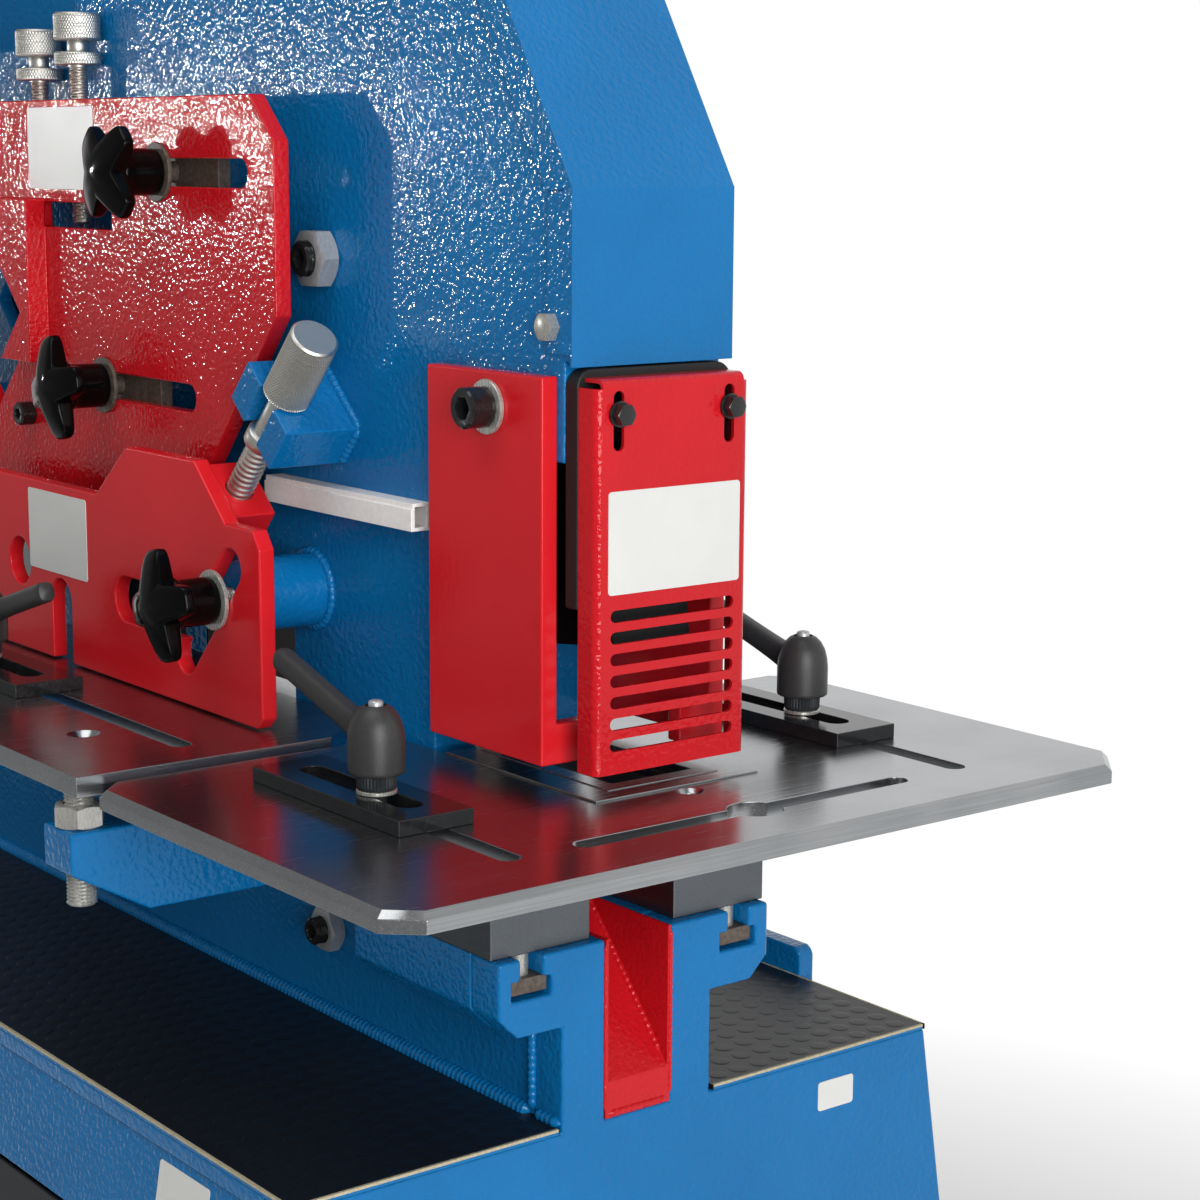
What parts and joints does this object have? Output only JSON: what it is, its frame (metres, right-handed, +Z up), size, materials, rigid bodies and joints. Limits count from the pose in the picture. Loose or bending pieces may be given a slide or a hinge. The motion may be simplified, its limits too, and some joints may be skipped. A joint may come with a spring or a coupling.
{
  "type": "hydraulic ironworker",
  "caption": "Blue twin-plate hydraulic ironworker on a flared cabinet: notching table with guards at one end, flat and angle shears with hold-downs, and a punch station.",
  "frame": {"origin": "on the floor, under the middle of the machine", "axes": "+Z up, +X towards the notching table, -Y towards the operator"},
  "size_m": [1.323, 0.656, 1.4995],
  "materials": {
    "blue_paint": "orange-peel powder coat",
    "red_paint": "gloss powder coat",
    "dark_steel": "dark machined or painted steel",
    "ground_steel": "surface ground",
    "zinc_plate": "bright zinc plate",
    "black_oxide": "black oxide, oiled",
    "lever_black": "matte black die-cast coat",
    "phenolic": "moulded, polished",
    "mat_rubber": "coin-stud mat",
    "skirt_rubber": "smooth sheet",
    "bronze": "turned",
    "rail_aluminium": "extruded, clear anodised",
    "red_button": "moulded",
    "green_button": "moulded"
  },
  "bodies": {
    "base": {"end_plates": "blue_paint", "cabinet_shell": "blue_paint", "floor_plate": "blue_paint", "front_frame_plate": "blue_paint", "rear_frame_plate": "blue_paint", "t_slot_rails": "blue_paint", "end_cover": "blue_paint", "top_cover": "blue_paint", "table_arms": "blue_paint", "hold_down_bracket": "blue_paint", "punch_head": "blue_paint", "front_guard": "red_paint", "rear_guard": "red_paint", "scrap_chute": "red_paint", "upper_hold_down": "red_paint", "stripper": "red_paint", "frame_spacers": "dark_steel", "cross_bars": "dark_steel", "rear_chute": "dark_steel", "shear_cylinder": "dark_steel", "table_blocks": "dark_steel", "punch_die": "dark_steel", "hydraulic_unit": "dark_steel", "control_box": "dark_steel", "fixed_blades": "ground_steel", "notch_table": "ground_steel", "notch_die": "ground_steel", "shear_table": "ground_steel", "punch_table": "ground_steel", "zinc_fasteners": "zinc_plate", "black_screws": "black_oxide", "deck_mats": "mat_rubber", "rubber_skirt": "skirt_rubber", "pivot_bushes": "bronze", "channel_rail": "rail_aluminium"},
    "beam": {"beam": "dark_steel", "beam_pins": "ground_steel", "moving_blades": "ground_steel", "notch_punch": "ground_steel"},
    "pull_rod": {"pull_rod": "zinc_plate"},
    "punch_ram": {"punch_ram": "zinc_plate", "punch_tool": "ground_steel"},
    "end_guard": {"end_guard": "red_paint"},
    "stop_bar_front": {"stop_bar_front": "black_oxide"},
    "lever_front": {"lever_front": "lever_black"},
    "stop_bar_rear": {"stop_bar_rear": "black_oxide"},
    "lever_rear": {"lever_rear": "lever_black"},
    "stop_bar_shear": {"stop_bar_shear": "black_oxide"},
    "lever_shear": {"lever_shear": "lever_black"},
    "finger_bar_upper": {"finger_bar_upper": "dark_steel"},
    "star_knob_upper": {"star_knob_upper": "phenolic"},
    "finger_bar_middle": {"finger_bar_middle": "dark_steel"},
    "star_knob_middle": {"star_knob_middle": "phenolic"},
    "star_knob_lower": {"star_knob_lower": "phenolic"},
    "clamp_screw": {"clamp_screw": "zinc_plate"},
    "lower_hold_down": {"lower_hold_down": "red_paint"},
    "angle_screw_left": {"angle_screw_left": "zinc_plate"},
    "angle_screw_right": {"angle_screw_right": "zinc_plate"},
    "door": {"cabinet_door": "dark_steel"},
    "latch": {"door_latch": "zinc_plate"},
    "stop_button": {"stop_button": "red_button"},
    "start_button": {"start_button": "green_button"}
  },
  "joints": [
    {"name": "beam_swing", "type": "hinge", "parent": "base", "child": "beam", "pos_m": [-0.09, 0, 0.935], "axis": [0, 1, 0], "range_deg": [0, 7]},
    {"name": "pull_rod_slide", "type": "slide", "parent": "base", "child": "pull_rod", "axis": [0, 0, -1], "range_m": [0, 0.057]},
    {"name": "punch_ram_slide", "type": "slide", "parent": "base", "child": "punch_ram", "axis": [0, 0, -1], "range_m": [0, 0.045]},
    {"name": "end_guard_slide", "type": "slide", "parent": "base", "child": "end_guard", "axis": [0, 0, 1], "range_m": [-0.006, 0.012]},
    {"name": "stop_bar_front_slide", "type": "slide", "parent": "base", "child": "stop_bar_front", "axis": [1, 0, 0], "range_m": [-0.04, 0.1]},
    {"name": "lever_front_turn", "type": "hinge", "parent": "stop_bar_front", "child": "lever_front", "pos_m": [0.504, -0.1445, 0.92], "axis": [0, 0, 1], "range_deg": [-40, 200]},
    {"name": "stop_bar_rear_slide", "type": "slide", "parent": "base", "child": "stop_bar_rear", "axis": [1, 0, 0], "range_m": [-0.03, 0.1]},
    {"name": "lever_rear_turn", "type": "hinge", "parent": "stop_bar_rear", "child": "lever_rear", "pos_m": [0.495, 0.144, 0.92], "axis": [0, 0, 1], "range_deg": [-200, 40]},
    {"name": "stop_bar_shear_slide", "type": "slide", "parent": "base", "child": "stop_bar_shear", "axis": [1, 0, 0], "range_m": [-0.05, 0.06]},
    {"name": "lever_shear_turn", "type": "hinge", "parent": "stop_bar_shear", "child": "lever_shear", "pos_m": [0.092, -0.162, 0.92], "axis": [0, 0, 1], "range_deg": [-100, 10]},
    {"name": "finger_bar_upper_slide", "type": "slide", "parent": "base", "child": "finger_bar_upper", "axis": [1, 0, 0], "range_m": [-0.06, 0.08]},
    {"name": "star_knob_upper_turn", "type": "hinge", "parent": "finger_bar_upper", "child": "star_knob_upper", "pos_m": [0.187, -0.1, 1.204], "axis": [0, 1, 0], "continuous": true},
    {"name": "finger_bar_middle_slide", "type": "slide", "parent": "base", "child": "finger_bar_middle", "axis": [1, 0, 0], "range_m": [-0.04, 0.06]},
    {"name": "star_knob_middle_turn", "type": "hinge", "parent": "finger_bar_middle", "child": "star_knob_middle", "pos_m": [0.112, -0.1, 1.075], "axis": [0, 1, 0], "continuous": true},
    {"name": "star_knob_lower_turn", "type": "hinge", "parent": "base", "child": "star_knob_lower", "pos_m": [0.292, -0.13, 0.97], "axis": [0, 1, 0], "continuous": true},
    {"name": "clamp_screw_turn", "type": "hinge", "parent": "base", "child": "clamp_screw", "pos_m": [0.272, -0.085, 1.028], "axis": [-0.6794, 0, -0.7337], "range_deg": [-10, 2175]},
    {"name": "lower_hold_down_slide", "type": "slide", "parent": "base", "child": "lower_hold_down", "axis": [0.6794, 0, 0.7337], "range_m": [0, 0.024]},
    {"name": "angle_screw_left_turn", "type": "hinge", "parent": "base", "child": "angle_screw_left", "pos_m": [-0.008, -0.0655, 1.25], "axis": [0, 0, 1], "continuous": true},
    {"name": "angle_screw_right_turn", "type": "hinge", "parent": "base", "child": "angle_screw_right", "pos_m": [0.047, -0.0655, 1.25], "axis": [0, 0, 1], "continuous": true},
    {"name": "door_swing", "type": "hinge", "parent": "base", "child": "door", "pos_m": [-0.27, -0.26776, 0.38751], "axis": [0, -0.161, -0.987], "range_deg": [0, 100]},
    {"name": "latch_turn", "type": "hinge", "parent": "door", "child": "latch", "pos_m": [0.255, -0.26677, 0.38735], "axis": [0, -0.987, 0.161], "range_deg": [0, 90]},
    {"name": "stop_button_press", "type": "slide", "parent": "base", "child": "stop_button", "axis": [0, 1, 0], "range_m": [0, 0.004], "stiffness_N_per_m": 600, "springref_m": -0.003},
    {"name": "start_button_press", "type": "slide", "parent": "base", "child": "start_button", "axis": [0, 1, 0], "range_m": [0, 0.004], "stiffness_N_per_m": 600, "springref_m": -0.003}
  ],
  "couplings": [
    {"joint": "pull_rod_slide", "follows": "beam_swing", "m_per_rad": 0.46558},
    {"joint": "clamp_screw_turn", "follows": "lower_hold_down_slide", "rad_per_m": 1570.8}
  ]
}
